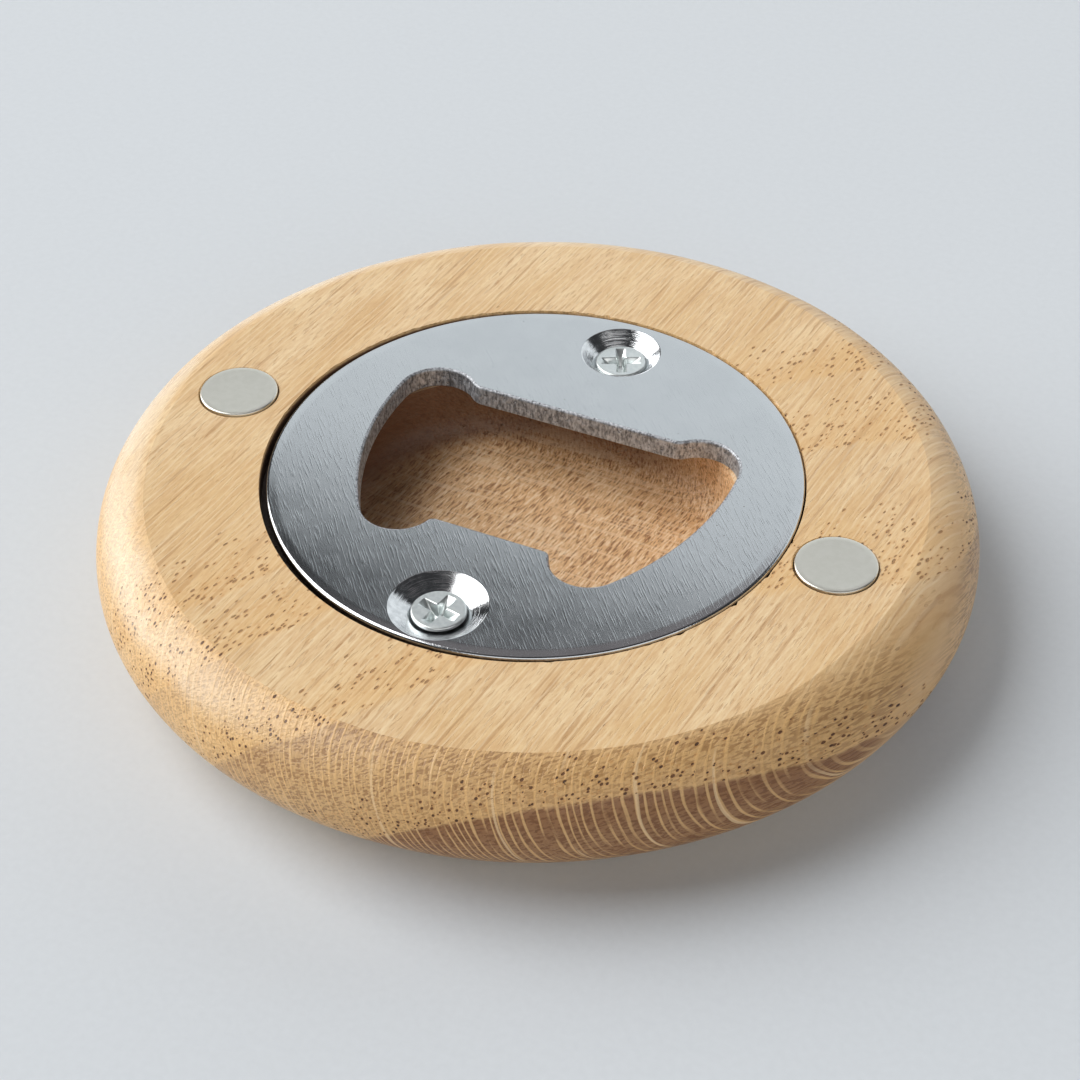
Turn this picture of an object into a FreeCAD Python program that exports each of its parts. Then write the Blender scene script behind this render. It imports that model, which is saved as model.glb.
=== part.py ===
import FreeCAD, Part

import math
import os
import re

import Sketcher

# A round bottle opener for the pocket or the fridge door: an oak disc with a steel opener plate
# let into its top and held by two screws, and a magnet on either side of the plate.
#
# Millimetres. +Z is up and the origin is the middle of the underside. X runs along the straight
# lip of the plate, so the two magnets lie along X and the two screws along Y.

DIMENSIONS = [
    # alias, value, what it is
    ("body_radius", 33.2, "oak disc, out to its widest line"),
    ("body_thickness", 11.0, "oak disc, underside to top"),
    ("widest_height", 5.95, "height of the widest line above the underside"),
    ("crease_radius", 29.15, "where the flat top meets the rounded edge"),
    ("belly_radius", 3.0, "edge radius just below the widest line"),
    ("foot_radius", 24.6, "flat underside"),
    ("plate_radius", 20.0, "opener plate"),
    ("plate_thickness", 1.6, "opener plate"),
    ("plate_edge", 0.25, "rolled edge round the plate"),
    ("opening_edge", 0.12, "broken edge round the opening"),
    ("plate_y", -0.3, "plate's middle from the middle of the disc"),
    ("seat_radius", 20.27, "seat for the plate"),
    ("seat_x", -0.15, "seat's middle, so that the plate lies nearer its far right wall"),
    ("seat_y", -0.44, "seat's middle"),
    ("lip_y", 7.4, "straight lip above the plate's middle"),
    ("tongue_y", 7.8, "end of the tongue below the plate's middle"),
    ("ear_x", 10.9, "middle of the ear's arc"),
    ("ear_y", 5.5, "middle of the ear's arc"),
    ("ear_radius", 3.0, "ear at the end of the lip"),
    ("lobe_x", 7.6, "middle of the lobe's arc"),
    ("lobe_y", 7.4, "middle of the lobe's arc, below the plate's middle"),
    ("lobe_radius", 2.85, "lobe beside the tongue"),
    ("side_radius", 22.8, "long shallow arc down each side of the opening"),
    ("lip_round", 1.2, "where the lip turns into the ear"),
    ("tongue_round", 0.6, "corner of the tongue"),
    ("screw_y", 16.05, "each screw from the plate's middle"),
    ("screw_bore", 3.2, "through hole for a screw, diameter"),
    ("upper_sink", 6.1, "countersink beyond the lip, diameter"),
    ("upper_angle", 90.0, "countersink beyond the lip, included angle"),
    ("lower_sink", 7.0, "countersink beside the tongue, diameter"),
    ("lower_angle", 120.0, "countersink beside the tongue, included angle"),
    ("pocket_radius", 12.0, "room for the cap under the plate, round ends"),
    ("pocket_spread", 7.5, "between the middles of the pocket's two ends"),
    ("pocket_x", -0.05, "pocket's middle"),
    ("pocket_y", -0.8, "pocket's middle"),
    ("pocket_depth", 6.8, "pocket's floor below the top"),
    ("pocket_fillet", 2.4, "between the pocket's wall and floor"),
    ("head_radius", 2.0, "screw head"),
    ("head_edge", 0.15, "rounded edge of the screw head"),
    ("head_rim", 0.1, "straight rim of the screw head"),
    ("core_radius", 0.85, "screw below its thread"),
    ("thread_radius", 1.25, "screw across its thread"),
    ("thread_pitch", 1.1, "screw thread"),
    ("thread_root", 0.6, "width of the thread where it leaves the core"),
    ("thread_bite", 0.1, "how far the thread's root reaches into the core"),
    ("plain_length", 1.9, "screw from the top of its head to the first thread"),
    ("screw_length", 8.0, "whole screw"),
    ("tip_length", 1.6, "point of the screw"),
    ("upper_turn", 25.0, "how far round the upper screw was driven"),
    ("lower_turn", -10.0, "how far round the lower screw was driven"),
    ("wing_span", 2.8, "cross recess, end to end"),
    ("wing_width", 0.72, "cross recess, across one wing"),
    ("wing_depth", 1.0, "cross recess"),
    ("wing_taper", -8.0, "cross recess, lean of its walls"),
    ("pilot_gap", 0.02, "between the thread and its pilot hole"),
    ("pilot_depth", 7.4, "pilot hole below the seat"),
    ("magnet_radius", 3.0, "disc magnet"),
    ("magnet_thickness", 3.0, "disc magnet"),
    ("magnet_edge", 0.25, "rounded edge of the magnet"),
    ("magnet_proud", 0.15, "how far a magnet stands above the wood"),
    ("magnet_gap", 0.08, "between a magnet and its hole"),
    ("magnet_y", -1.05, "both magnets"),
    ("left_magnet_x", -24.95, "left magnet"),
    ("right_magnet_x", 23.9, "right magnet"),
    ("glue_thickness", 0.1, "film of glue under a magnet"),
    ("glue_radius", 2.8, "film of glue under a magnet"),
]
SIZE = {alias: value for alias, value, note in DIMENSIONS}
SHEET = "Dimensions"
PLATE_UNDERSIDE = "body_thickness - plate_thickness"
MAGNET_HOLE_DEPTH = "magnet_thickness + glue_thickness - magnet_proud"
SAME_HEIGHT = 1e-4  # mm: edges closer than this are on one level
LEAST_CUT = 1e-3  # mm3: a cut that takes away less than this missed the part

doc = FreeCAD.newDocument("bottle_opener")


# ---- the sheet and what hangs on it --------------------------------------------------------------


def fill_sheet():
    sheet = doc.addObject("Spreadsheet::Sheet", SHEET)
    for row, (alias, value, note) in enumerate(DIMENSIONS, start=1):
        sheet.set(f"A{row}", note)
        sheet.set(f"B{row}", str(value))
        sheet.setAlias(f"B{row}", alias)
    doc.recompute()


def cells(formula):
    """A formula in which each word that is an alias stands for its cell of the sheet."""
    def cell(word):
        return f"{SHEET}.{word[0]}" if word[0] in SIZE else word[0]
    return re.sub(r"[a-z]\w*", cell, formula)


def bind(thing, name, formula):
    thing.setExpression(name, cells(formula))


def dimension(sketch, kind, formula, *where):
    """A driving dimension of a sketch, bound to the sheet."""
    value = float(sketch.evalExpression(cells(formula)))
    index = sketch.addConstraint(Sketcher.Constraint(kind, *where, value))
    bind(sketch, f"Constraints[{index}]", formula)


# ---- bodies and sketches -------------------------------------------------------------------------


def new_body(name, x="0", y="0", z="0"):
    """A sub-part whose place is given by formulas."""
    body = doc.addObject("PartDesign::Body", name)
    body.Label = name
    for axis, formula in (("x", x), ("y", y), ("z", z)):
        bind(body, f"Placement.Base.{axis}", formula)
    return body


def new_sketch(body, name, role="XY_Plane", height="0"):
    """A sketch on one of the body's own origin planes, lifted off it by a formula."""
    sketch = body.newObject("Sketcher::SketchObject", name)
    plane = [item for item in body.Origin.OriginFeatures if item.Role == role][0]
    sketch.AttachmentSupport = (plane, [""])
    sketch.MapMode = "FlatFace"
    bind(sketch, "AttachmentOffset.Base.z", height)
    return sketch


def new_feature(body, kind, name, sketch, **lengths):
    """A feature made from a sketch, with its sizes bound to the sheet."""
    feature = body.newObject(f"PartDesign::{kind}", name)
    feature.Profile = sketch
    for key, formula in lengths.items():
        bind(feature, key, formula)
    sketch.Visibility = False
    body.Tip = feature
    doc.recompute()
    return feature


def round_edges(body, name, radius, chosen):
    """A fillet on the edges of the tip for which chosen(edge) is true."""
    base = body.Tip
    edges = [f"Edge{i}" for i, edge in enumerate(base.Shape.Edges, start=1) if chosen(edge)]
    fillet = body.newObject("PartDesign::Fillet", name)
    fillet.Base = (base, edges)
    bind(fillet, "Radius", radius)
    body.Tip = fillet
    doc.recompute()


def at_height(edge, height):
    box = edge.BoundBox
    return abs(box.ZMin - height) < SAME_HEIGHT and abs(box.ZMax - height) < SAME_HEIGHT


def draw_circle(sketch, radius, x="0", y="0"):
    size = float(sketch.evalExpression(cells(radius)))
    circle = sketch.addGeometry(Part.Circle(FreeCAD.Vector(0, 0), FreeCAD.Vector(0, 0, 1), size))
    dimension(sketch, "DistanceX", x, -1, 1, circle, 3)
    dimension(sketch, "DistanceY", y, -1, 1, circle, 3)
    dimension(sketch, "Radius", radius, circle)


def line(start, end):
    return Part.LineSegment(FreeCAD.Vector(*start), FreeCAD.Vector(*end))


def arc(middle, radius, first, last):
    """An arc run anticlockwise between two points of its circle."""
    angles = [math.atan2(point[1] - middle[1], point[0] - middle[0]) for point in (first, last)]
    circle = Part.Circle(FreeCAD.Vector(*middle), FreeCAD.Vector(0, 0, 1), radius)
    return Part.ArcOfCircle(circle, *angles)


def step_towards(start, end, distance):
    """The point at a distance from start, on the line through end."""
    share = distance / math.dist(start, end)
    return (start[0] + share * (end[0] - start[0]), start[1] + share * (end[1] - start[1]))


# ---- the oak disc --------------------------------------------------------------------------------


def draw_disc_profile(sketch):
    """Half the disc's section: flat foot, two arcs of the belly, one of the shoulder, flat top."""
    radius = SIZE["body_radius"]
    top = SIZE["body_thickness"]
    widest = SIZE["widest_height"]
    belly = SIZE["belly_radius"]
    foot = SIZE["foot_radius"]
    crease = SIZE["crease_radius"]
    reach = radius - belly - foot
    under = (reach**2 + widest**2 - belly**2) / (2 * (widest - belly))
    shoulder = ((radius - crease) ** 2 + (top - widest) ** 2) / (2 * (radius - crease))
    under_middle = (foot, under)
    belly_middle = (radius - belly, widest)
    meeting = step_towards(under_middle, belly_middle, under)
    sketch.addGeometry([
        line((0, 0), (foot, 0)),
        arc(under_middle, under, (foot, 0), meeting),
        arc(belly_middle, belly, meeting, (radius, widest)),
        arc((radius - shoulder, widest), shoulder, (radius, widest), (crease, top)),
        line((crease, top), (0, top)),
        line((0, top), (0, 0)),
    ])
    for first in range(3):
        sketch.addConstraint(Sketcher.Constraint("Tangent", first, 2, first + 1, 1))
    for first in (3, 4):
        sketch.addConstraint(Sketcher.Constraint("Coincident", first, 2, first + 1, 1))
    sketch.addConstraint(Sketcher.Constraint("Coincident", 5, 2, 0, 1))
    sketch.addConstraint(Sketcher.Constraint("Coincident", 0, 1, -1, 1))
    sketch.addConstraint(Sketcher.Constraint("Horizontal", 0))
    sketch.addConstraint(Sketcher.Constraint("Horizontal", 4))
    sketch.addConstraint(Sketcher.Constraint("Vertical", 5))
    sketch.addConstraint(Sketcher.Constraint("Horizontal", 2, 3, 2, 2))
    dimension(sketch, "DistanceX", "foot_radius", -1, 1, 0, 2)
    dimension(sketch, "DistanceX", "body_radius", -1, 1, 2, 2)
    dimension(sketch, "DistanceY", "widest_height", -1, 1, 2, 2)
    dimension(sketch, "Radius", "belly_radius", 2)
    dimension(sketch, "DistanceX", "crease_radius", -1, 1, 3, 2)
    dimension(sketch, "DistanceY", "body_thickness", -1, 1, 3, 2)


def draw_pocket(sketch):
    """A slot with round ends."""
    end = SIZE["pocket_radius"]
    half = SIZE["pocket_spread"] / 2
    sketch.addGeometry([
        line((-half, -end), (half, -end)),
        arc((half, 0), end, (half, -end), (half, end)),
        line((half, end), (-half, end)),
        arc((-half, 0), end, (-half, end), (-half, -end)),
    ])
    for first in range(4):
        sketch.addConstraint(Sketcher.Constraint("Tangent", first, 2, (first + 1) % 4, 1))
    sketch.addConstraint(Sketcher.Constraint("Horizontal", 0))
    sketch.addConstraint(Sketcher.Constraint("Equal", 1, 3))
    dimension(sketch, "Radius", "pocket_radius", 1)
    dimension(sketch, "DistanceX", "pocket_x + pocket_spread / 2", -1, 1, 1, 3)
    dimension(sketch, "DistanceX", "pocket_x - pocket_spread / 2", -1, 1, 3, 3)
    dimension(sketch, "DistanceY", "pocket_y", -1, 1, 1, 3)


def make_wooden_body():
    body = new_body("wooden_body")
    profile = new_sketch(body, "disc_profile", "XZ_Plane")
    draw_disc_profile(profile)
    disc = new_feature(body, "Revolution", "disc", profile)
    disc.ReferenceAxis = (profile, ["V_Axis"])

    seat = new_sketch(body, "seat_outline", height="body_thickness")
    draw_circle(seat, "seat_radius", "seat_x", "seat_y")
    new_feature(body, "Pocket", "plate_seat", seat, Length="plate_thickness")

    pocket = new_sketch(body, "pocket_outline", height="body_thickness")
    draw_pocket(pocket)
    new_feature(body, "Pocket", "cap_pocket", pocket, Length="pocket_depth")
    floor = SIZE["body_thickness"] - SIZE["pocket_depth"]
    round_edges(body, "pocket_floor_fillet", "pocket_fillet", lambda edge: at_height(edge, floor))

    pilots = new_sketch(body, "pilot_circles", height=PLATE_UNDERSIDE)
    for y in ("plate_y + screw_y", "plate_y - screw_y"):
        draw_circle(pilots, "thread_radius", "0", y)
    bore = "2 * (thread_radius + pilot_gap)"
    make_hole(body, "pilot_holes", pilots, bore, "screw_bore", "upper_angle", "pilot_depth")

    for x in ("left_magnet_x", "right_magnet_x"):
        name = x.replace("_x", "_hole")
        outline = new_sketch(body, f"{name}_outline", height="body_thickness")
        draw_circle(outline, "magnet_radius + magnet_gap", x, "magnet_y")
        new_feature(body, "Pocket", name, outline, Length=MAGNET_HOLE_DEPTH)
    return body


def make_hole(body, name, sketch, bore, sink, angle, depth=None):
    """Countersunk round holes at the circles of a sketch, blind where a depth is given."""
    doc.recompute()
    hole = body.newObject("PartDesign::Hole", name)
    hole.Profile = sketch
    hole.ThreadType = "None"
    hole.DepthType = "Dimension" if depth else "ThroughAll"
    hole.HoleCutType = "Countersink"
    hole.HoleCutCustomValues = True
    bind(hole, "Diameter", bore)
    bind(hole, "HoleCutDiameter", sink)
    bind(hole, "HoleCutCountersinkAngle", angle)
    if depth:
        bind(hole, "Depth", depth)
    body.Tip = hole
    doc.recompute()


# ---- the steel plate -----------------------------------------------------------------------------


def draw_half_opening(sketch):
    """The right half of the opening: half lip, ear, side, lobe, half tongue, all tangent."""
    lip = SIZE["lip_y"]
    tongue = -SIZE["tongue_y"]
    ear = (SIZE["ear_x"], SIZE["ear_y"])
    ear_radius = SIZE["ear_radius"]
    lobe = (SIZE["lobe_x"], -SIZE["lobe_y"])
    lobe_radius = SIZE["lobe_radius"]
    side_radius = SIZE["side_radius"]
    lip_round = SIZE["lip_round"]
    tongue_round = SIZE["tongue_round"]

    side = far_crossing(ear, side_radius - ear_radius, lobe, side_radius - lobe_radius)
    ear_to_side = step_towards(side, ear, side_radius)
    side_to_lobe = step_towards(side, lobe, side_radius)

    rise = lip + lip_round - ear[1]
    lip_corner = (ear[0] - math.sqrt((ear_radius + lip_round) ** 2 - rise**2), lip + lip_round)
    lip_end = (lip_corner[0], lip)
    lip_to_ear = step_towards(ear, lip_corner, ear_radius)

    drop = tongue - tongue_round - lobe[1]
    gap = math.sqrt((lobe_radius + tongue_round) ** 2 - drop**2)
    tongue_corner = (lobe[0] - gap, tongue - tongue_round)
    tongue_end = (tongue_corner[0], tongue)
    lobe_to_tongue = step_towards(lobe, tongue_corner, lobe_radius)

    sketch.addGeometry([
        line((0, lip), lip_end),
        arc(lip_corner, lip_round, lip_end, lip_to_ear),
        arc(ear, ear_radius, ear_to_side, lip_to_ear),
        arc(side, side_radius, side_to_lobe, ear_to_side),
        arc(lobe, lobe_radius, lobe_to_tongue, side_to_lobe),
        arc(tongue_corner, tongue_round, lobe_to_tongue, tongue_end),
        line(tongue_end, (0, tongue)),
        line((0, tongue), (0, lip)),
    ])
    meetings = [(0, 2, 1, 1), (1, 2, 2, 2), (2, 1, 3, 2), (3, 1, 4, 2), (4, 1, 5, 1), (5, 2, 6, 1)]
    for meeting in meetings:
        sketch.addConstraint(Sketcher.Constraint("Tangent", *meeting))
    for corner in [(6, 2, 7, 1), (7, 2, 0, 1)]:
        sketch.addConstraint(Sketcher.Constraint("Coincident", *corner))
    for straight in (0, 6):
        sketch.addConstraint(Sketcher.Constraint("Horizontal", straight))
    for end in [(0, 1), (6, 2)]:
        sketch.addConstraint(Sketcher.Constraint("PointOnObject", *end, -2))
    dimension(sketch, "DistanceY", "lip_y", -1, 1, 0, 1)
    dimension(sketch, "DistanceY", "tongue_y", 6, 2, -1, 1)
    dimension(sketch, "DistanceX", "ear_x", -1, 1, 2, 3)
    dimension(sketch, "DistanceY", "ear_y", -1, 1, 2, 3)
    dimension(sketch, "DistanceX", "lobe_x", -1, 1, 4, 3)
    dimension(sketch, "DistanceY", "lobe_y", 4, 3, -1, 1)
    for curve, alias in ((1, "lip_round"), (2, "ear_radius"), (3, "side_radius"), (4, "lobe_radius"),
                         (5, "tongue_round")):
        dimension(sketch, "Radius", alias, curve)


def far_crossing(first, first_radius, second, second_radius):
    """Of the two points where two circles cross, the one further to the left."""
    gap = math.dist(first, second)
    along = (first_radius**2 - second_radius**2 + gap**2) / (2 * gap)
    across = math.sqrt(first_radius**2 - along**2)
    foot = step_towards(first, second, along)
    unit = ((second[0] - first[0]) / gap, (second[1] - first[1]) / gap)
    crossings = [(foot[0] + turn * unit[1], foot[1] - turn * unit[0]) for turn in (across, -across)]
    return min(crossings)


def make_opener_plate():
    body = new_body("opener_plate", y="plate_y", z=PLATE_UNDERSIDE)
    disc = new_sketch(body, "plate_outline")
    draw_circle(disc, "plate_radius")
    new_feature(body, "Pad", "plate_disc", disc, Length="plate_thickness")
    round_edges(body, "rolled_edge", "plate_edge", lambda edge: edge.Length > SIZE["plate_radius"])

    opening = new_sketch(body, "half_opening", height="plate_thickness")
    draw_half_opening(opening)
    half = new_feature(body, "Pocket", "opening", opening)
    half.Type = "ThroughAll"
    mirrored = body.newObject("PartDesign::Mirrored", "other_half")
    mirrored.Originals = [half]
    mirrored.MirrorPlane = (opening, ["V_Axis"])
    body.Tip = mirrored
    doc.recompute()
    top = SIZE["plate_thickness"]
    halfway = (SIZE["ear_x"] + SIZE["ear_radius"] + SIZE["plate_radius"] - SIZE["plate_edge"]) / 2
    round_edges(body, "opening_broken_edge", "opening_edge",
                lambda edge: at_height(edge, top) and edge.BoundBox.XMax < halfway)

    for name, y in (("upper", "screw_y"), ("lower", "-screw_y")):
        circle = new_sketch(body, f"{name}_circle", height="plate_thickness")
        draw_circle(circle, "screw_bore / 2", "0", y)
        make_hole(body, f"{name}_screw_hole", circle, "screw_bore", f"{name}_sink", f"{name}_angle")
    return body


# ---- the screws ----------------------------------------------------------------------------------


def draw_screw_profile(sketch):
    """Half the screw's section, from the flat of the head down to the point."""
    head = SIZE["head_radius"]
    edge = SIZE["head_edge"]
    rim = edge + SIZE["head_rim"]
    core = SIZE["core_radius"]
    neck = rim + head - core
    length = SIZE["screw_length"]
    tip = length - SIZE["tip_length"]
    sketch.addGeometry([
        line((0, 0), (head - edge, 0)),
        arc((head - edge, -edge), edge, (head, -edge), (head - edge, 0)),
        line((head, -edge), (head, -rim)),
        line((head, -rim), (core, -neck)),
        line((core, -neck), (core, -tip)),
        line((core, -tip), (0, -length)),
        line((0, -length), (0, 0)),
    ])
    sketch.addConstraint(Sketcher.Constraint("Tangent", 0, 2, 1, 2))
    sketch.addConstraint(Sketcher.Constraint("Tangent", 1, 1, 2, 1))
    for first in range(2, 6):
        sketch.addConstraint(Sketcher.Constraint("Coincident", first, 2, first + 1, 1))
    sketch.addConstraint(Sketcher.Constraint("Coincident", 6, 2, 0, 1))
    sketch.addConstraint(Sketcher.Constraint("Coincident", 0, 1, -1, 1))
    sketch.addConstraint(Sketcher.Constraint("Horizontal", 0))
    for upright in (2, 4, 6):
        sketch.addConstraint(Sketcher.Constraint("Vertical", upright))
    dimension(sketch, "Radius", "head_edge", 1)
    dimension(sketch, "DistanceX", "head_radius", -1, 1, 2, 2)
    dimension(sketch, "DistanceY", "head_edge + head_rim", 2, 2, -1, 1)
    dimension(sketch, "DistanceX", "core_radius", -1, 1, 3, 2)
    dimension(sketch, "DistanceY", "head_edge + head_rim + head_radius - core_radius", 3, 2, -1, 1)
    dimension(sketch, "DistanceY", "screw_length - tip_length", 4, 2, -1, 1)
    dimension(sketch, "DistanceY", "screw_length", 5, 2, -1, 1)


def draw_wing_pair(sketch):
    """Two opposite wings of the cross recess: one rectangle about the middle."""
    reach = SIZE["wing_span"] / 2
    half = SIZE["wing_width"] / 2
    corners = [(-reach, -half), (reach, -half), (reach, half), (-reach, half)]
    sketch.addGeometry([line(corners[i], corners[(i + 1) % 4]) for i in range(4)])
    for side in range(4):
        sketch.addConstraint(Sketcher.Constraint("Coincident", side, 2, (side + 1) % 4, 1))
        sketch.addConstraint(Sketcher.Constraint("Vertical" if side % 2 else "Horizontal", side))
    sketch.addConstraint(Sketcher.Constraint("Symmetric", 0, 1, 1, 2, -1, 1))
    dimension(sketch, "DistanceX", "wing_span", 0, 1, 0, 2)
    dimension(sketch, "DistanceY", "wing_width", 1, 1, 1, 2)


def draw_thread_form(sketch):
    """One turn's section: a ridge with its root in the core, at the lowest turn."""
    root = SIZE["core_radius"] - SIZE["thread_bite"]
    lowest = SIZE["tip_length"] - SIZE["screw_length"]
    ridge = (SIZE["thread_radius"], lowest + SIZE["thread_root"] / 2)
    corners = [(root, lowest), ridge, (root, lowest + SIZE["thread_root"])]
    sketch.addGeometry([line(corners[i], corners[(i + 1) % 3]) for i in range(3)])
    for side in range(3):
        sketch.addConstraint(Sketcher.Constraint("Coincident", side, 2, (side + 1) % 3, 1))
    sketch.addConstraint(Sketcher.Constraint("Vertical", 2))
    dimension(sketch, "DistanceX", "core_radius - thread_bite", -1, 1, 0, 1)
    dimension(sketch, "DistanceX", "thread_radius", -1, 1, 0, 2)
    dimension(sketch, "DistanceY", "screw_length - tip_length", 0, 1, -1, 1)
    dimension(sketch, "DistanceY", "thread_root / 2", 0, 1, 0, 2)
    dimension(sketch, "DistanceY", "thread_root", 0, 1, 1, 2)


def make_screw(name, y, head_depth, turn):
    """A wood screw, its head's flat at a depth below the top of the oak disc."""
    body = new_body(name, y=y, z=f"body_thickness - ( {head_depth} )")
    bind(body, "Placement.Rotation.Angle", f"{turn} * 1 deg")
    profile = new_sketch(body, f"{name}_profile", "XZ_Plane")
    draw_screw_profile(profile)
    turned = new_feature(body, "Revolution", f"{name}_turned", profile)
    turned.ReferenceAxis = (profile, ["V_Axis"])

    form = new_sketch(body, f"{name}_thread_form", "XZ_Plane")
    draw_thread_form(form)
    thread = new_feature(body, "AdditiveHelix", f"{name}_thread", form, Pitch="thread_pitch",
                         Height="screw_length - tip_length - plain_length")
    thread.ReferenceAxis = (form, ["V_Axis"])
    doc.recompute()

    wings = new_sketch(body, f"{name}_wings")
    draw_wing_pair(wings)
    wing_pair = new_feature(body, "Pocket", f"{name}_wing_pair", wings, Length="wing_depth",
                            TaperAngle="wing_taper")
    cross = body.newObject("PartDesign::PolarPattern", f"{name}_cross")
    cross.Originals = [wing_pair]
    cross.Axis = (wings, ["N_Axis"])
    cross.Angle = 90
    cross.Occurrences = 2
    body.Tip = cross
    return body


# ---- the magnets ---------------------------------------------------------------------------------


def make_magnet(name, x):
    body = new_body(name, x, "magnet_y", "body_thickness + magnet_proud - magnet_thickness")
    outline = new_sketch(body, f"{name}_outline")
    draw_circle(outline, "magnet_radius")
    new_feature(body, "Pad", f"{name}_disc", outline, Length="magnet_thickness")
    full_turn = math.pi * SIZE["magnet_radius"]
    round_edges(body, f"{name}_edges", "magnet_edge", lambda edge: edge.Length > full_turn)
    return body


def make_glue(name, x):
    body = new_body(name, x, "magnet_y", f"body_thickness - ( {MAGNET_HOLE_DEPTH} )")
    outline = new_sketch(body, f"{name}_outline")
    draw_circle(outline, "glue_radius")
    new_feature(body, "Pad", f"{name}_film", outline, Length="glue_thickness")
    return body


# ---- the whole opener ----------------------------------------------------------------------------


def make_opener():
    """Every sub-part. A screw stops where the cone of its head, 45 degrees a side, meets the plate."""
    crown = "- head_edge - head_rim"
    on_cone = f"( upper_sink / 2 - head_radius ) / tan( upper_angle / 2 * 1 deg ) {crown}"
    on_bore = ("( lower_sink - screw_bore ) / 2 / tan( lower_angle / 2 * 1 deg )"
               f" - ( head_radius - screw_bore / 2 ) {crown}")
    return [
        make_wooden_body(),
        make_opener_plate(),
        make_screw("upper_screw", "plate_y + screw_y", on_cone, "upper_turn"),
        make_screw("lower_screw", "plate_y - screw_y", on_bore, "lower_turn"),
        make_magnet("left_magnet", "left_magnet_x"),
        make_magnet("right_magnet", "right_magnet_x"),
        make_glue("left_magnet_glue", "left_magnet_x"),
        make_glue("right_magnet_glue", "right_magnet_x"),
    ]


def check(bodies):
    """Stops before anything is written if an object failed or a cut took nothing away."""
    for item in doc.Objects:
        if "Invalid" in item.State or "Error" in item.State:
            raise SystemExit(f"{item.Label} failed: {item.State}")
        if item.TypeId in ("PartDesign::Pocket", "PartDesign::Hole", "PartDesign::Mirrored"):
            if item.Shape.Volume > item.BaseFeature.Shape.Volume - LEAST_CUT:
                raise SystemExit(f"{item.Label} cut nothing")
    for body in bodies:
        if body.Shape.isNull() or not body.Shape.isValid() or len(body.Shape.Solids) != 1:
            raise SystemExit(f"{body.Label} is not one sound solid")


fill_sheet()
opener = make_opener()
doc.recompute()
check(opener)
os.makedirs("parts", exist_ok=True)
for part in opener:
    part.Shape.exportStep(f"parts/{part.Label}.step")
    print(f"{part.Label}: {part.Shape.Volume:.1f} mm3")
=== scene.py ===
import math

import bmesh
import bpy
import numpy as np
from mathutils import Matrix, Vector, geometry, noise


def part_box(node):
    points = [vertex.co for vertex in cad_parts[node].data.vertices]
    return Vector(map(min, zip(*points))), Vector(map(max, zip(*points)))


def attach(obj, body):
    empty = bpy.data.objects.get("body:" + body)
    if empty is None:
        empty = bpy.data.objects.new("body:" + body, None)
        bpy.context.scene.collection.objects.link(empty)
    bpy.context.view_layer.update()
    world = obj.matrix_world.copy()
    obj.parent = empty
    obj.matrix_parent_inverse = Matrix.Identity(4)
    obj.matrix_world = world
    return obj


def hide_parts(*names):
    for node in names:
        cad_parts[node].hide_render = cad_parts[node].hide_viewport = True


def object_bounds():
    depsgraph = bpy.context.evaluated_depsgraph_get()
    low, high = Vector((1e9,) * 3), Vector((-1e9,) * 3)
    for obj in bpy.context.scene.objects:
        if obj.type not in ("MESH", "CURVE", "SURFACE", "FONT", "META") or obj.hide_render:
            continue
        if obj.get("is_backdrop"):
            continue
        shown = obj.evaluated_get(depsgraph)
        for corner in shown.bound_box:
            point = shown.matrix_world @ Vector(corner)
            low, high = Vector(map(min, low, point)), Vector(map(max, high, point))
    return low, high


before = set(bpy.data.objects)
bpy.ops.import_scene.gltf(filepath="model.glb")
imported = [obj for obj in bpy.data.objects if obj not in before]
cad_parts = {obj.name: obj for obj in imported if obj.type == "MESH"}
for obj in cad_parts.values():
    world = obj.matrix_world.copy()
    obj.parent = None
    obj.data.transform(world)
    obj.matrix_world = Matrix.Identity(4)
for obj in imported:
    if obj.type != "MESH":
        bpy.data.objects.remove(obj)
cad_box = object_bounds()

# A round oak bottle opener lying on a pale floor. Lengths are in millimetres and in the part's own
# frame, and become metres only where a mesh, a lamp or the camera is made.

MM = 0.001


# ---- sizes read from the frame -------------------------------------------------------------------


def node_box(name):
    """A node's lowest and highest corner and its middle, in millimetres."""
    low, high = (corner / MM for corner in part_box(name))
    return low, high, (low + high) / 2


BODY_HIGH = node_box("wooden_body")[1]
PLATE_LOW, PLATE_HIGH, PLATE_MIDDLE = node_box("opener_plate")
BODY_RADIUS = BODY_HIGH.x
TOP = BODY_HIGH.z
PLATE_RADIUS = (PLATE_HIGH.x - PLATE_LOW.x) / 2
PLATE_THICKNESS = PLATE_HIGH.z - PLATE_LOW.z
SEAT_HEIGHT = PLATE_LOW.z


# ---- sizes of the oak disc -----------------------------------------------------------------------

WIDEST_HEIGHT = 5.95
CREASE_RADIUS = 29.15
BELLY_RADIUS = 3.0
FOOT_RADIUS = 24.6
SEAT_RADIUS = 20.27
SEAT_MIDDLE = (-0.15, -0.44)
POCKET_RADIUS = 12.0
POCKET_SPREAD = 7.5
POCKET_MIDDLE = (-0.05, -0.8)
POCKET_FLOOR = TOP - 6.8
POCKET_FILLET = 2.4
PILOT_RADIUS = 1.27
PILOT_SINK_RADIUS = 1.6
PILOT_FLOOR = SEAT_HEIGHT - 7.4
PILOT_POINT = 0.3
MAGNET_GAP = 0.08
MOUTH_FLARE = 0.09
MOUTH_DEPTH = 0.12
DEEPEST_CHIP = 0.3

# ---- sizes of the steel plate, about its own middle ----------------------------------------------

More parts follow.
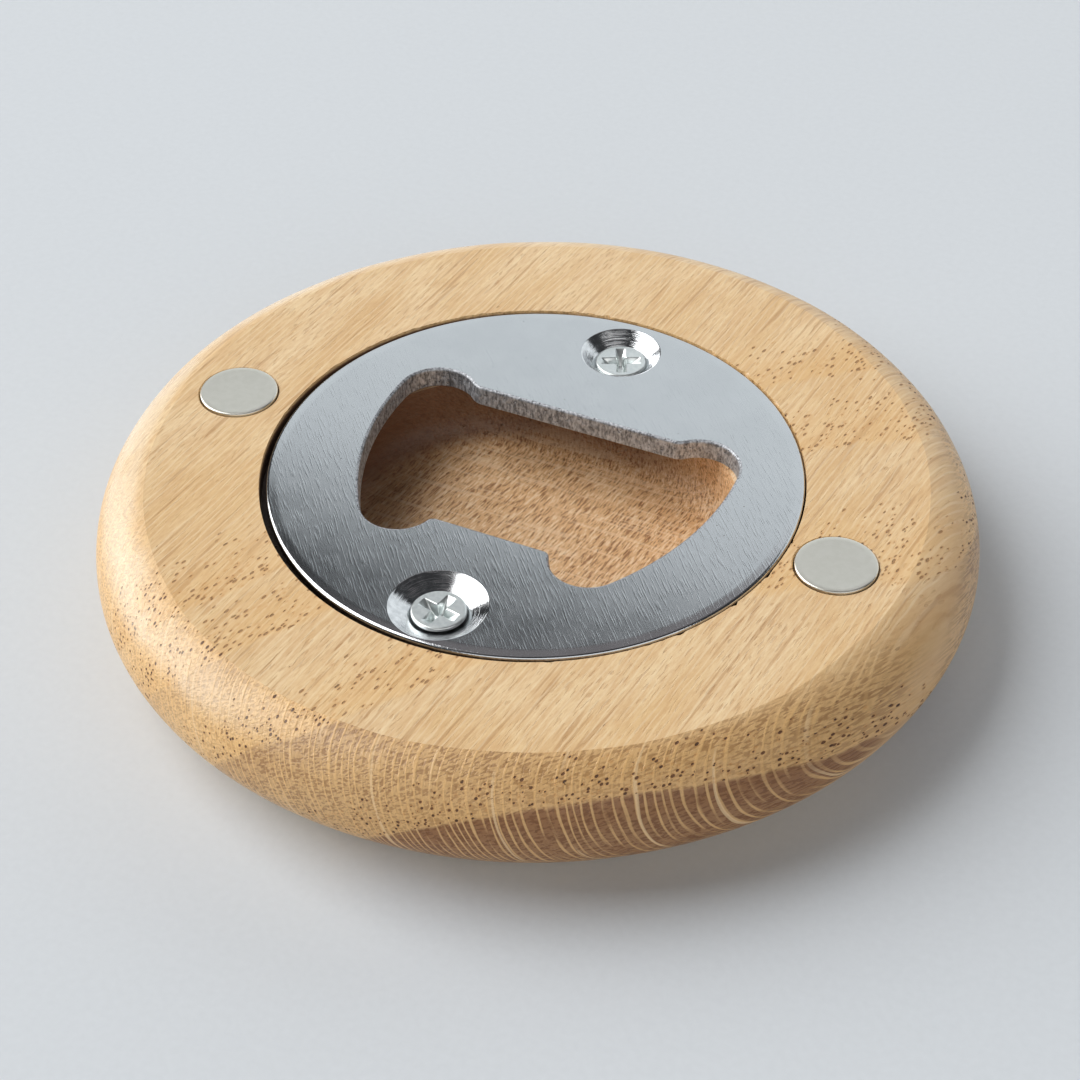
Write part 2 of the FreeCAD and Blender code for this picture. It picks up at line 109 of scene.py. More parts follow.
PLATE_EDGE = 0.25
EDGE_DROP = 0.03
EDGE_SLOPE = 0.9
OPENING_EDGE = 0.2
LIP_Y = 7.4
TONGUE_Y = -7.8
EAR = (10.9, 5.5)
EAR_RADIUS = 3.0
LOBE = (7.6, -7.4)
LOBE_RADIUS = 2.85
SIDE_RADIUS = 22.8
LIP_ROUND = 1.2
TONGUE_ROUND = 0.6
BORE_RADIUS = 1.6
UPPER_SINK = (3.05, 45.0)
LOWER_SINK = (3.5, 60.0)

# ---- sizes of the screws -------------------------------------------------------------------------

HEAD_RADIUS = 2.0
HEAD_EDGE = 0.15
HEAD_RIM = 0.1
CORE_RADIUS = 0.85
THREAD_RADIUS = 1.25
THREAD_PITCH = 1.1
THREAD_HALF_WIDTH = 0.3
PLAIN_LENGTH = 1.9
TIP_LENGTH = 1.6
WING_REACH = 1.58
WING_HALF_WIDTH = 0.42
WING_DEPTH = 0.95
UPPER_TURN = 25.0
LOWER_TURN = -10.0

# ---- how finely round things are cut -------------------------------------------------------------

BODY_STEPS = 360
SEAT_STEPS = 480
HOLE_STEPS = 96
SCREW_STEPS = 72
SHANK_STEPS = 110
FINE = 0.11


# ---- small geometry ------------------------------------------------------------------------------


def circle(radius, steps, middle=(0.0, 0.0)):
    """Points round a circle, anticlockwise, in the plane."""
    turns = [2 * math.pi * step / steps for step in range(steps)]
    return [(middle[0] + radius * math.cos(turn), middle[1] + radius * math.sin(turn)) for turn in turns]


def arc(middle, radius, first, last, steps):
    """Points on an arc from one angle to another, in degrees, both ends included."""
    turns = [math.radians(first + (last - first) * step / steps) for step in range(steps + 1)]
    return [(middle[0] + radius * math.cos(turn), middle[1] + radius * math.sin(turn)) for turn in turns]


def bearing(middle, point):
    return math.degrees(math.atan2(point[1] - middle[1], point[0] - middle[0]))


def step_towards(start, end, distance):
    """The point at a distance from start, on the line through end."""
    share = distance / math.dist(start, end)
    return (start[0] + share * (end[0] - start[0]), start[1] + share * (end[1] - start[1]))


def at_height(points, height):
    return [(x, y, height) for x, y in points]


def ripple(x, y, z, size, seed=0.0):
    """Smooth noise between about -1 and 1 with features of a given size."""
    return noise.noise(Vector((x / size + seed, y / size - seed, z / size + 2 * seed)))


class Solid:
    """A closed mesh put together from rings of points, in millimetres."""

    def __init__(self):
        self.mesh = bmesh.new()

    def ring(self, points):
        return [self.mesh.verts.new(point) for point in points]

    def skin(self, rings, material=0):
        """Smooth quads between each ring and the next, all with the same number of points."""
        for lower, upper in zip(rings, rings[1:]):
            for index in range(len(lower)):
                after = (index + 1) % len(lower)
                face = self.mesh.faces.new((lower[index], lower[after], upper[after], upper[index]))
                face.smooth = True
                face.material_index = material

    def point(self, ring, tip, material=0):
        """Smooth triangles from a ring to one point."""
        top = self.mesh.verts.new(tip)
        for index in range(len(ring)):
            face = self.mesh.faces.new((ring[index], ring[(index + 1) % len(ring)], top))
            face.smooth = True
            face.material_index = material

    def flat(self, outer, holes=(), material=0):
        """A flat face inside one ring and outside others."""
        loops = [outer, *holes]
        corners = [vert for loop in loops for vert in loop]
        edges = []
        for loop in loops:
            start = len(edges)
            edges += [(start + i, start + (i + 1) % len(loop)) for i in range(len(loop))]
        plane = [Vector((vert.co.x, vert.co.y)) for vert in corners]
        triangles = geometry.delaunay_2d_cdt(plane, edges, [], 0, 1e-7)[2]
        kept = inside(np.array(plane), np.array(edges), np.array(triangles))
        for triangle in kept:
            face = self.mesh.faces.new([corners[index] for index in triangle])
            face.material_index = material

    def finish(self, name, materials, sharp_above=32.0):
        """The mesh as an object, with its normals outward and its corners sharp."""
        bmesh.ops.recalc_face_normals(self.mesh, faces=self.mesh.faces)
        limit = math.radians(sharp_above)
        for edge in self.mesh.edges:
            edge.smooth = len(edge.link_faces) == 2 and edge.calc_face_angle() < limit
        self.mesh.transform(Matrix.Scale(MM, 4))
        data = bpy.data.meshes.new(name)
        self.mesh.to_mesh(data)
        self.mesh.free()
        for material in materials:
            data.materials.append(material)
        piece = bpy.data.objects.new(name, data)
        bpy.context.scene.collection.objects.link(piece)
        return piece


def inside(plane, edges, triangles):
    """Those triangles whose middle an odd number of the loops goes round."""
    middles = plane[triangles].mean(axis=1)
    start, end = plane[edges[:, 0]], plane[edges[:, 1]]
    spans = (start[:, 1] > middles[:, None, 1]) != (end[:, 1] > middles[:, None, 1])
    rise = np.where(end[:, 1] == start[:, 1], 1.0, end[:, 1] - start[:, 1])
    crossing = start[:, 0] + (middles[:, None, 1] - start[:, 1]) * (end[:, 0] - start[:, 0]) / rise
    hits = (spans & (middles[:, None, 0] < crossing)).sum(axis=1)
    return triangles[hits % 2 == 1]


# ---- node trees ----------------------------------------------------------------------------------


class Shader:
    """A material's node tree, with short names for the nodes that it is made of."""

    def __init__(self, name):
        self.material = bpy.data.materials.new(name)
        self.material.use_nodes = True
        self.tree = self.material.node_tree
        self.tree.nodes.clear()
        self.surface = self.tree.nodes.new("ShaderNodeBsdfPrincipled")
        output = self.tree.nodes.new("ShaderNodeOutputMaterial")
        self.tree.links.new(self.surface.outputs["BSDF"], output.inputs["Surface"])

    def plug(self, socket, value):
        if isinstance(value, bpy.types.NodeSocket):
            self.tree.links.new(value, socket)
        else:
            socket.default_value = value

    def set(self, **values):
        """Inputs of the surface: Base_Color stands for Base Color."""
        for name, value in values.items():
            self.plug(self.surface.inputs[name.replace("_", " ")], value)

    def node(self, kind, inputs=(), output=0, **settings):
        made = self.tree.nodes.new(kind)
        for name, value in settings.items():
            setattr(made, name, value)
        for name, value in dict(inputs).items():
            self.plug(made.inputs[name], value)
        return made.outputs[output]

    def math(self, operation, *values):
        return self.node("ShaderNodeMath", enumerate(values), operation=operation)

    def sum(self, first, *rest):
        for value in rest:
            first = self.math("ADD", first, value)
        return first

    def product(self, first, *rest):
        for value in rest:
            first = self.math("MULTIPLY", first, value)
        return first

    def vector(self, operation, *values, output=0):
        return self.node("ShaderNodeVectorMath", enumerate(values), output, operation=operation)

    def place(self):
        """Where the surface is in the part's frame, in millimetres."""
        metres = self.node("ShaderNodeTexCoord", output="Object")
        return self.vector("MULTIPLY", metres, (1 / MM,) * 3)

    def dot(self, vector, direction):
        return self.vector("DOT_PRODUCT", vector, direction, output="Value")

    def join(self, x, y, z):
        return self.node("ShaderNodeCombineXYZ", {"X": x, "Y": y, "Z": z})

    def split(self, vector, axis):
        return self.node("ShaderNodeSeparateXYZ", {0: vector}, output=axis)

    def stretch(self, vector, lengths):
        """Coordinates that grow by one over each of three lengths."""
        return self.vector("DIVIDE", vector, lengths)

    def cloud(self, vector, lengths, detail=2.0, rough=0.5):
        """Soft noise from 0 to 1 with features of the given three lengths."""
        inputs = {"Vector": self.stretch(vector, lengths), "Scale": 1.0, "Detail": detail, "Roughness": rough}
        return self.node("ShaderNodeTexNoise", inputs)

    def cells(self, vector, lengths, output="Distance"):
        """Scattered cells of the given three lengths: how far the nearest middle is, or its colour."""
        inputs = {"Vector": self.stretch(vector, lengths), "Scale": 1.0}
        return self.node("ShaderNodeTexVoronoi", inputs, output)

    def fade(self, value, low, high, start=0.0, end=1.0):
        """Start below low, end above high, a smooth step between."""
        inputs = {"Value": value, "From Min": low, "From Max": high, "To Min": start, "To Max": end}
        return self.node("ShaderNodeMapRange", inputs, interpolation_type="SMOOTHSTEP")

    def blend(self, share, first, second):
        """One colour into another."""
        mix = self.tree.nodes.new("ShaderNodeMix")
        mix.data_type = "RGBA"
        self.plug(mix.inputs["Factor"], share)
        self.plug(mix.inputs[6], first)
        self.plug(mix.inputs[7], second)
        return mix.outputs[2]

    def bump(self, height, depth, strength=1.0):
        """A relief of a depth in millimetres where the height goes from 0 to 1."""
        inputs = {"Height": height, "Distance": depth * MM, "Strength": strength}
        return self.node("ShaderNodeBump", inputs, output="Normal")


def colour(red, green, blue):
    """A colour given as it looks on a screen, from 0 to 255."""
    parts = [part / 255 for part in (red, green, blue)]
    linear = [part / 12.92 if part < 0.04045 else ((part + 0.055) / 1.055) ** 2.4 for part in parts]
    return (*linear, 1.0)


# ---- materials -----------------------------------------------------------------------------------

# The fibres run away from the front edge and dip a little. The years are flattened ovals about a line
# along the fibres, below and to the right, and the rays are sheets that hold the fibres and lean left.
FIBRE_TURN = math.radians(76.6)
FIBRE_DIP = math.radians(13.8)
RAY_LEAN = math.radians(27.6)
SIDE = Vector((math.sin(FIBRE_TURN), -math.cos(FIBRE_TURN), 0.0))
FIBRE = Vector((math.cos(FIBRE_TURN) * math.cos(FIBRE_DIP), math.sin(FIBRE_TURN) * math.cos(FIBRE_DIP),
                -math.sin(FIBRE_DIP)))
RISE = SIDE.cross(FIBRE)
RAY_NORMAL = SIDE * math.cos(RAY_LEAN) + RISE * math.sin(RAY_LEAN)
GROWTH = RAY_NORMAL.cross(FIBRE)
PITH = (32.5, -11.7)
YEAR_TILT = math.radians(6.8)
YEAR_FLATNESS = 0.61
YEARS = (17.0, 23.95, 28.9, 32.05)
LATE_TONES = (0.5, 0.22, 0.22, 0.0)
PORE_BAND = 3.4
LATE_BAND = 3.0
RAY_SPACING = 0.44
BROAD_RAY_SPACING = 3.4


class Oak(Shader):
    """Ring-porous oak: years, rows of open pores, rays, fine fibre, browner on the end grain."""

    def __init__(self):
        super().__init__("oak_wood")
        self.spot = self.place()
        self.grain = self.join(*(self.dot(self.spot, way) for way in (RAY_NORMAL, FIBRE, GROWTH)))
        self.normal = self.node("ShaderNodeNewGeometry", output="Normal")
        cut_across = self.math("ABSOLUTE", self.dot(self.normal, FIBRE))
        more_on_the_right = self.dot(self.normal, (0.32, 0.0, 0.0))
        self.end_grain = self.fade(self.sum(cut_across, more_on_the_right), 0.27, 0.5)
        self.fibres = self.cloud(self.grain, (0.15, 2.2, 0.25), detail=4.0, rough=0.62)
        self.streaks = self.cloud(self.grain, (0.5, 8.0, 1.4), detail=3.0, rough=0.6)
        self.patches = self.cloud(self.grain, (4.0, 12.0, 5.0), detail=3.0)
        self.dashes = self.fade(self.cloud(self.grain, (0.15, 1.3, 0.5), detail=0.0), 0.62, 0.72)
        self.rows = self.fade(self.cloud(self.grain, (0.34, 4.0, 0.15), detail=1.0), 0.48, 0.58)
        self.grow_years()
        self.open_pores()
        self.lay_rays()
        self.mill_recess()
        self.sand_and_highlight_shoulder()

    def grow_years(self):
        """The early wood and late wood of each year, and the browner wood of the first two."""
        side = self.math("SUBTRACT", self.dot(self.spot, SIDE), PITH[0])
        rise = self.math("SUBTRACT", self.dot(self.spot, RISE), PITH[1])
        level, lean = math.cos(YEAR_TILT), math.sin(YEAR_TILT)
        across = self.sum(self.product(side, level), self.product(rise, lean))
        across = self.product(across, YEAR_FLATNESS)
        up = self.math("SUBTRACT", self.product(rise, level), self.product(side, lean))
        year = self.math("SQRT", self.sum(self.product(across, across), self.product(up, up)))
        wander = self.cloud(self.spot, (3.0, 5.0, 3.0), detail=2.0)
        year = self.sum(year, self.product(wander, 0.7), -0.35)

        self.early = 0.0
        self.late = 0.0
        for start, share in zip(YEARS, LATE_TONES):
            opens = self.fade(year, start - 0.1, start + 0.2)
            closes = self.fade(year, start + 0.2, start + PORE_BAND, 1.0, 0.0)
            self.early = self.sum(self.early, self.product(opens, closes))
            darkens = self.fade(year, start - LATE_BAND, start, 0.0, share)
            ends = self.fade(year, start - 0.15, start + 0.15, 1.0, 0.0)
            self.late = self.sum(self.late, self.product(darkens, ends))
        self.first_years = self.sum(self.fade(year, YEARS[0] - 0.2, YEARS[0] + 0.2, 0.52, 0.0),
                                    self.fade(year, YEARS[1] - 0.2, YEARS[1] + 0.2, 0.26, 0.0))

    def open_pores(self):
        """Pores in the early wood, the warm wood round them and their own colour."""
        cell = (0.3, 0.8, 0.3)
        chance = self.cells(self.grain, cell, "Color")
        gathered = self.fade(self.cloud(self.grain, (1.3, 8.0, 1.3), detail=1.0), 0.35, 0.65, 0.25, 1.4)
        wanted = self.product(self.early, gathered, self.fade(self.end_grain, 0.0, 1.0, 0.8, 1.2))
        there = self.fade(self.math("SUBTRACT", wanted, self.split(chance, "X")), -0.04, 0.06)
        size = self.fade(self.split(chance, "Y"), 0.0, 1.0, 0.14, 0.34)
        edge = self.math("SUBTRACT", size, self.cells(self.grain, cell))
        self.pores = self.product(self.fade(edge, -0.03, 0.05), there)
        self.halos = self.product(self.fade(edge, -0.3, 0.02), there)
        self.pore_tone = self.blend(self.split(chance, "Z"), colour(66, 40, 22), colour(118, 76, 42))

    def lay_rays(self):
        """The fine rays and the few broad ones, faint where they lie flat in the surface."""
        sway = self.cloud(self.grain, (1.6, 9.0, 7.0), detail=2.0)
        phase = self.sum(self.split(self.grain, "X"), self.product(sway, 0.9))
        crossed = self.fade(self.math("ABSOLUTE", self.dot(self.normal, RAY_NORMAL)), 0.82, 0.96, 1.0, 0.2)
        wave = self.math("COSINE", self.product(phase, 2 * math.pi / RAY_SPACING))
        share = self.fade(self.cloud(self.grain, (0.45, 3.5, 5.0), detail=1.0), 0.28, 0.55)
        self.rays = self.product(self.fade(wave, 0.4, 0.95), share, crossed)
        wave = self.math("COSINE", self.product(phase, 2 * math.pi / BROAD_RAY_SPACING))
        share = self.fade(self.cloud(self.grain, (2.0, 8.0, 9.0), detail=0.0), 0.42, 0.55)
        self.broad_rays = self.product(self.fade(wave, 0.986, 0.997), share, crossed)

    def mill_recess(self):
        """Where a cutter has been, below the top and inside the seat, and the marks that it left."""
        below = self.fade(self.split(self.spot, "Z"), TOP - 0.4, TOP - 0.1, 1.0, 0.0)
        flat = self.vector("MULTIPLY", self.spot, (1.0, 1.0, 0.0))
        from_axis = self.vector("LENGTH", flat, output="Value")
        within = self.fade(from_axis, SEAT_RADIUS + 0.6, SEAT_RADIUS + 1.2, 1.0, 0.0)
        self.milled = self.product(below, within)
        self.tracks = self.cloud(self.spot, (7.0, 0.3, 3.0), detail=3.0)
        self.torn = self.cloud(self.grain, (0.16, 2.6, 0.3), detail=2.0, rough=0.7)

    def sand_and_highlight_shoulder(self):
        """The left of the shoulder: smoother from sanding, and paler from a painted highlight where the glare
        falls.
        """
        facing_up = self.split(self.normal, "Z")
        sloping = self.product(self.fade(facing_up, 0.4, 0.7), self.fade(facing_up, 0.92, 0.98, 1.0, 0.0))
        on_the_left = self.fade(self.split(self.normal, "X"), -0.5, 0.1, 1.0, 0.0)
        uneven = self.fade(self.patches, 0.38, 0.56, 0.4, 1.0)
        not_milled = self.math("SUBTRACT", 1.0, self.milled)
        self.rubbed_sheen = self.product(sloping, on_the_left, uneven, not_milled)

    def face_tone(self):
        """The colour along the fibres: pale, with darker streaks, dashes and a few long lines."""
        tone = self.blend(self.fade(self.patches, 0.3, 0.7), colour(229, 194, 142), colour(241, 213, 168))
        browner = self.fade(self.split(self.normal, "X"), 0.2, 0.8, 0.0, 0.5)
        tone = self.blend(browner, tone, colour(196, 148, 88))
        tone = self.blend(self.fade(self.streaks, 0.35, 0.65, 0.35, 0.0), tone, colour(208, 162, 110))
        tone = self.blend(self.fade(self.fibres, 0.3, 0.66, 0.36, 0.0), tone, colour(200, 152, 102))
        dashed = self.product(self.dashes, self.fade(self.patches, 0.4, 0.65, 0.05, 0.3))
        tone = self.blend(dashed, tone, colour(166, 114, 68))
        long_lines = self.fade(self.cloud(self.grain, (0.3, 18.0, 2.4), detail=0.0), 0.66, 0.74)
        tone = self.blend(self.product(long_lines, 0.4), tone, colour(170, 120, 72))
        tone = self.blend(self.product(self.late, 0.3), tone, colour(190, 140, 90))
        return self.blend(self.product(self.rays, 0.3), tone, colour(248, 227, 190))

    def end_tone(self):
        """The colour across the fibres: browner, with rows of small pores and pale rays."""
        tone = self.blend(self.first_years, colour(244, 203, 144), colour(128, 76, 38))
        tone = self.blend(self.late, tone, colour(138, 88, 48))
        row_share = self.sum(0.34, self.product(self.first_years, 0.7))
        tone = self.blend(self.product(self.rows, row_share), tone, colour(124, 78, 40))
        small_pores = self.fade(self.cells(self.grain, (0.25, 1.4, 0.25)), 0.16, 0.36, 1.0, 0.0)
        tone = self.blend(self.product(small_pores, 0.26), tone, colour(104, 64, 32))
        tone = self.blend(self.fade(self.fibres, 0.3, 0.7, 0.3, 0.0), tone, colour(140, 96, 58))
        return self.blend(self.product(self.rays, 0.75), tone, colour(232, 188, 128))

    def worked_and_shaded_tone(self, tone):
        """The colour with what the cutter did to it: torn fibres and tracks. Then painted shade on the
        pocket's far and left walls, on the left of the pocket and in the gap round the plate.
        """
        def over(share, paint):
            return self.blend(self.product(self.milled, share), tone, paint)

        tone = over(0.75, colour(228, 182, 134))
        tone = over(self.fade(self.torn, 0.36, 0.48, 0.75, 0.0), colour(134, 84, 50))
        tone = over(self.fade(self.torn, 0.53, 0.64, 0.0, 0.8), colour(250, 222, 186))
        tone = over(self.fade(self.tracks, 0.54, 0.62, 0.0, 0.45), colour(246, 214, 176))
        # Painted shade: walls facing near and right, the pocket's far and left walls, are painted dark brown.
        facing_near_right = self.dot(self.normal, (0.75, -0.66, 0.0))
        tone = over(self.fade(facing_near_right, 0.05, 0.75, 0.0, 0.85), colour(88, 54, 34))
        # Painted shadow: the left of the pocket, where the plate's shadow falls, is painted darker.
        leftwards = self.sum(self.split(self.spot, "X"), self.product(self.streaks, 4.0))
        tone = over(self.fade(leftwards, -13.0, -5.0, 0.75, 0.0), colour(92, 58, 38))
        # Painted shade: the narrow gap between the seat and the plate's edge is painted nearly black.
        from_seat_middle = self.vector("SUBTRACT", self.spot, (*SEAT_MIDDLE, TOP))
        groove = self.vector("LENGTH", from_seat_middle, output="Value")
        outer = self.fade(groove, PLATE_RADIUS - 1.2, PLATE_RADIUS - 0.4)
        low = self.fade(self.split(self.spot, "Z"), TOP - 0.7, TOP - 0.3, 1.0, 0.0)
        return over(self.product(outer, low, 0.9), colour(52, 34, 22))

    def paint(self):
        """All of it together on the shader's surface."""
        tone = self.blend(self.end_grain, self.face_tone(), self.end_tone())
        tone = self.blend(self.product(self.early, 0.3), tone, colour(226, 176, 106))
        broad_share = self.fade(self.end_grain, 0.0, 1.0, 0.2, 0.7)
        tone = self.blend(self.product(self.broad_rays, broad_share), tone, colour(238, 204, 156))
        tone = self.blend(self.product(self.halos, 0.5), tone, colour(204, 146, 84))
        pore_share = self.fade(self.end_grain, 0.0, 0.6, 0.5, 0.95)
        tone = self.blend(self.product(self.pores, pore_share), tone, self.pore_tone)
        tone = self.worked_and_shaded_tone(tone)
        # Painted highlight: the glare on the left shoulder, painted as a paler base colour.
        tone = self.blend(self.product(self.rubbed_sheen, 0.4), tone, colour(250, 236, 214))

        relief = self.product(self.fibres, 0.3)
        relief = self.math("SUBTRACT", relief, self.product(self.pores, 2.0))
        relief = self.math("SUBTRACT", relief, self.product(self.dashes, 0.25))
        ridges = self.math("SUBTRACT", self.rays, self.rows)
        relief = self.sum(relief, self.product(self.end_grain, ridges, 0.25))
        relief = self.sum(relief, self.product(self.milled, self.sum(self.tracks, self.torn), 0.6))
        rough = self.fade(self.fibres, 0.2, 0.8, 0.3, 0.42)
        rough = self.sum(rough, self.product(self.pores, 0.25), self.product(self.milled, 0.15))
        rough = self.sum(rough, self.product(self.rubbed_sheen, -0.12))
        self.set(Base_Color=tone, Roughness=rough, Normal=self.bump(relief, 0.05))


def oak():
    wood = Oak()
    wood.paint()
    return wood.material


# Along the fine parallel scratches of the plate, and across them.
BRUSH_TURN = math.radians(-50)
BRUSH_ALONG = Vector((math.cos(BRUSH_TURN), math.sin(BRUSH_TURN), 0.0))
BRUSH_ACROSS = Vector((-BRUSH_ALONG.y, BRUSH_ALONG.x, 0.0))


def brushed_steel():
    """Satin sheet steel with fine parallel scratches, soft waves and small dark specks."""
    steel = Shader("brushed_steel")
    place = steel.place()
    brush = steel.join(steel.dot(place, BRUSH_ACROSS), steel.dot(place, BRUSH_ALONG), steel.split(place, "Z"))
    hairs = steel.cloud(brush, (0.1, 4.0, 1.0), detail=1.0, rough=0.5)
    lines = steel.fade(steel.cloud(brush, (0.13, 1.8, 1.0), detail=1.0), 0.5, 0.68)
    waves = steel.cloud(place, (9.0, 9.0, 9.0), detail=1.0)
    film = steel.cloud(place, (3.0, 3.0, 3.0), detail=3.0)
    specks = steel.fade(steel.cells(place, (1.4, 1.4, 1.4)), 0.025, 0.05, 1.0, 0.0)
    tone = steel.blend(steel.fade(film, 0.3, 0.7), colour(192, 195, 198), colour(197, 200, 203))
    tone = steel.blend(steel.product(specks, 0.4), tone, colour(110, 108, 106))
    relief = steel.sum(steel.product(hairs, 0.4), steel.product(lines, 0.8), steel.product(specks, -0.5))
    fine = steel.bump(relief, 0.0024)
    reach = steel.vector("LENGTH", steel.vector("SUBTRACT", place, PLATE_MIDDLE), output="Value")
    drop = steel.fade(reach, PLATE_RADIUS - EDGE_SLOPE, PLATE_RADIUS, EDGE_DROP, 0.0)
    height = steel.sum(drop, steel.product(waves, 0.012))
    soft = steel.node("ShaderNodeBump", {"Height": height, "Distance": MM, "Normal": fine}, "Normal")
    rough = steel.fade(film, 0.3, 0.7, 0.13, 0.15)
    steel.set(Base_Color=tone, Metallic=1.0, Roughness=rough, Normal=soft)
    return steel.material


def turned_steel():
    """The bright cut of a countersink."""
    steel = Shader("turned_steel")
    place = steel.place()
    film = steel.cloud(place, (0.5, 0.5, 0.5), detail=3.0)
    tone = steel.blend(steel.fade(film, 0.3, 0.7), colour(205, 207, 210), colour(225, 227, 229))
    rough = steel.fade(film, 0.3, 0.7, 0.1, 0.18)
    rings = steel.cloud(place, (5.0, 5.0, 0.07), detail=3.0, rough=0.6)
    steel.set(Base_Color=tone, Metallic=1.0, Roughness=rough, Normal=steel.bump(rings, 0.02))
    return steel.material


def sheared_steel():
    """The punched wall of the opening: greyer and rougher, with dark pits."""
    steel = Shader("sheared_steel")
    place = steel.place()
    pits = steel.fade(steel.cells(place, (0.42, 0.42, 0.3)), 0.14, 0.26, 1.0, 0.0)
    drag = steel.cloud(place, (0.2, 0.2, 0.5), detail=4.0, rough=0.65)
    tone = steel.blend(steel.fade(drag, 0.3, 0.7), colour(104, 106, 110), colour(206, 209, 214))
    tone = steel.blend(steel.product(pits, 0.6), tone, colour(60, 57, 57))
    relief = steel.math("SUBTRACT", drag, pits)
    rough = steel.fade(drag, 0.2, 0.8, 0.4, 0.55)
    steel.set(Base_Color=tone, Metallic=0.6, Roughness=rough, Normal=steel.bump(relief, 0.03))
    return steel.material


def zinc():
    """Bright zinc plating, with the faint unevenness of a tumbled screw."""
    metal = Shader("zinc_plating")
    place = metal.place()
    skin = metal.cloud(place, (0.35, 0.35, 0.35), detail=4.0, rough=0.6)
    nicks = metal.fade(metal.cells(place, (0.6, 0.6, 0.6)), 0.06, 0.14, 1.0, 0.0)
    tone = metal.blend(metal.fade(skin, 0.3, 0.7), colour(222, 228, 228), colour(236, 241, 240))
    relief = metal.math("SUBTRACT", skin, nicks)
    rough = metal.fade(skin, 0.3, 0.7, 0.3, 0.36)
    metal.set(Base_Color=tone, Metallic=1.0, Roughness=rough, Normal=metal.bump(relief, 0.0015))
    return metal.material


def nickel():
    """Satin nickel plating of a magnet, warmer than the steel, with faint rubbed marks."""
    metal = Shader("nickel_plating")
    place = metal.place()
    skin = metal.cloud(place, (0.5, 0.5, 0.5), detail=5.0, rough=0.6)
    rubbed_sheen = metal.fade(metal.cloud(place, (2.5, 0.12, 1.0), detail=2.0), 0.6, 0.75)
    tone = metal.blend(metal.fade(skin, 0.3, 0.7), colour(222, 220, 210), colour(227, 225, 216))
    tone = metal.blend(metal.product(rubbed_sheen, 0.25), tone, colour(232, 229, 222))
    rough = metal.sum(metal.fade(skin, 0.3, 0.7, 0.32, 0.36), metal.product(rubbed_sheen, -0.05))
    metal.set(Base_Color=tone, Metallic=1.0, Roughness=rough, Normal=metal.bump(skin, 0.002))
    return metal.material


def glue():
    """Set glue: honey coloured, glossy, with a few small bubbles."""
    resin = Shader("clear_glue")
    place = resin.place()
    bubbles = resin.fade(resin.cells(place, (0.5, 0.5, 0.5)), 0.12, 0.2, 1.0, 0.0)
    depth = resin.cloud(place, (1.2, 1.2, 1.2), detail=2.0)
    tone = resin.blend(resin.fade(depth, 0.3, 0.7), colour(214, 190, 140), colour(228, 208, 166))
    tone = resin.blend(resin.product(bubbles, 0.5), tone, colour(245, 238, 220))
    rough = resin.fade(depth, 0.3, 0.7, 0.12, 0.25)
    resin.set(Base_Color=tone, Roughness=rough, Normal=resin.bump(bubbles, 0.01))
    return resin.material


def floor_finish():
    """A pale, dull floor with a barely visible grain."""
    floor = Shader("pale_floor")
    place = floor.place()
    grain = floor.cloud(place, (0.6, 0.6, 0.6), detail=3.0)
    tone = floor.blend(grain, colour(208, 213, 218), colour(216, 221, 226))
    rough = floor.fade(grain, 0.3, 0.7, 0.7, 0.8)
    floor.set(Base_Color=tone, Roughness=rough)
    return floor.material


# ---- the oak disc --------------------------------------------------------------------------------


def edge_profile():
    """Radius and height from the foot up to the crease: two arcs of the belly, one of the shoulder."""
    reach = BODY_RADIUS - BELLY_RADIUS - FOOT_RADIUS
    under = (reach**2 + WIDEST_HEIGHT**2 - BELLY_RADIUS**2) / (2 * (WIDEST_HEIGHT - BELLY_RADIUS))
    width = BODY_RADIUS - CREASE_RADIUS
    shoulder = (width**2 + (TOP - WIDEST_HEIGHT) ** 2) / (2 * width)
    under_middle = (FOOT_RADIUS, under)
    belly_middle = (BODY_RADIUS - BELLY_RADIUS, WIDEST_HEIGHT)
    turn = bearing(under_middle, belly_middle)
    crest = math.degrees(math.asin((TOP - WIDEST_HEIGHT) / shoulder))
    points = arc(under_middle, under, -90, turn, 16)
    points += arc(belly_middle, BELLY_RADIUS, turn, 0, 8)[1:]
    points += arc((BODY_RADIUS - shoulder, WIDEST_HEIGHT), shoulder, 0, crest, 24)[1:]
    return points


def sanded(radius, height, turn):
    """A point of the rounded edge, worn inwards here and there as hand sanding leaves it."""
    x, y = math.cos(turn), math.sin(turn)
    worn = 0.07 * (1 + ripple(x, y, 0.0, 0.5, 3.1))
    pull = 1 + 0.05 * ripple(x, y, 0.0, 0.7, 7.3) + 0.03 * ripple(x, y, 0.0, 0.16, 1.7)
    if height > WIDEST_HEIGHT:
        radius = BODY_RADIUS - (BODY_RADIUS - radius) * pull
    share = math.sin(math.pi * min(height / TOP, 1.0))
    return ((radius - worn * share) * x, (radius - worn * share) * y, height)


def slot(radius, steps=HOLE_STEPS):
    """The pocket's outline with a given end radius, starting at the lower right."""
    x, y = POCKET_MIDDLE
    half = POCKET_SPREAD / 2
    right = arc((x + half, y), radius, -90, 90, steps)
    left = arc((x - half, y), radius, 90, 270, steps)
    between = [share / 8 for share in range(1, 8)]
    over = [(x + half - share * POCKET_SPREAD, y + radius) for share in between]
    under = [(x - half + share * POCKET_SPREAD, y - radius) for share in between]
    return right + over + left + under


def chipped_seat(height, depth):
    """The seat's rim at a height, with small chips where the cutter tore the end grain."""
    points = []
    for x, y in circle(1.0, SEAT_STEPS):
        tear = max(0.0, ripple(x, y, height / 40, 0.035, 5.2) - 0.25) * (1.4 + x + y)
        chip = DEEPEST_CHIP * min(1.0, tear) * depth
        radius = SEAT_RADIUS + 0.04 * depth + chip
        points.append((SEAT_MIDDLE[0] + radius * x, SEAT_MIDDLE[1] + radius * y, height))
    return points


